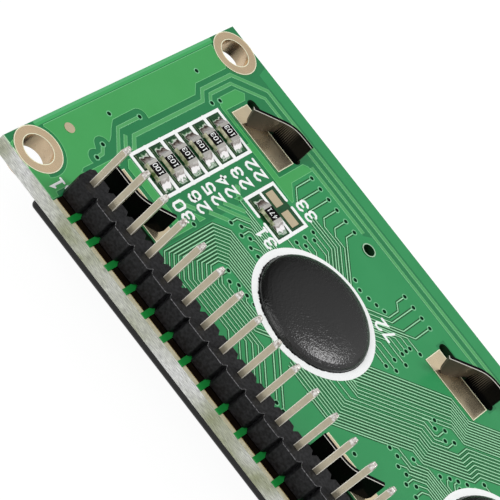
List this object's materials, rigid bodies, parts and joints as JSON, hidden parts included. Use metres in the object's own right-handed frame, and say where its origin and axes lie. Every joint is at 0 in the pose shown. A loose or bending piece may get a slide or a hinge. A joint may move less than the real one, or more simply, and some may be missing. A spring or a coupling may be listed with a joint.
{
  "type": "character display module",
  "caption": "Flat character LCD module: green circuit board with a steel-framed display below and a pin header, epoxy domes and chip resistors above.",
  "frame": {"origin": "bottom centre of the whole module: the middle of the board in X and Y, and the display's front face in Z", "axes": "+X along the board's long side, away from the end where the header starts; +Y from the header's edge to the far edge; +Z from the display face through the board to the header's pin tips"},
  "size_m": [0.08, 0.036, 0.0162],
  "materials": {
    "board_laminate": "glass-fibre laminate under glossy green solder resist",
    "gold_land": "gold-plated copper, satin",
    "black_steel": "glossy black paint on sheet steel",
    "polariser": "grey-green film",
    "display_glass": "clear polished glass",
    "seal_resin": "pale resin",
    "white_plastic": "white",
    "clear_acrylic": "clear acrylic",
    "contact_rubber": "dark silicone with conductive layers",
    "tinned_pin": "tin-plated brass, satin",
    "solder": "bright solder",
    "black_plastic": "moulded black plastic",
    "epoxy": "black epoxy with a fine orange-peel surface",
    "resistor_ceramic": "pale ceramic",
    "resistor_coat": "black glass coat",
    "end_plating": "tin plating"
  },
  "bodies": {
    "root": {"board": "board_laminate", "mounting_rings": "gold_land", "header_lands": "gold_land", "tab_lands": "gold_land", "register_marks": "gold_land", "locating_ring": "gold_land", "lamp_lands": "gold_land", "resistor_lands": "gold_land", "bezel": "black_steel", "front_polariser": "polariser", "front_glass": "display_glass", "cell_seal": "seal_resin", "rear_glass": "display_glass", "rear_polariser": "polariser", "diffuser_film": "white_plastic", "light_guide": "clear_acrylic", "reflector": "white_plastic", "contact_strip_near": "contact_rubber", "contact_strip_far": "contact_rubber", "lamp": "white_plastic", "lamp_leads": "tinned_pin", "lamp_joints": "solder", "header_housing": "black_plastic", "header_pins": "tinned_pin", "header_joints": "solder", "controller_dome": "epoxy", "driver_dome": "epoxy", "resistor_1": "resistor_ceramic", "resistor_2": "resistor_ceramic", "resistor_3": "resistor_ceramic", "resistor_4": "resistor_ceramic", "resistor_5": "resistor_ceramic", "resistor_6": "resistor_ceramic", "resistor_7": "resistor_ceramic", "resistor_coats": "resistor_coat", "resistor_ends": "end_plating", "resistor_solder": "solder"}
  },
  "joints": []
}
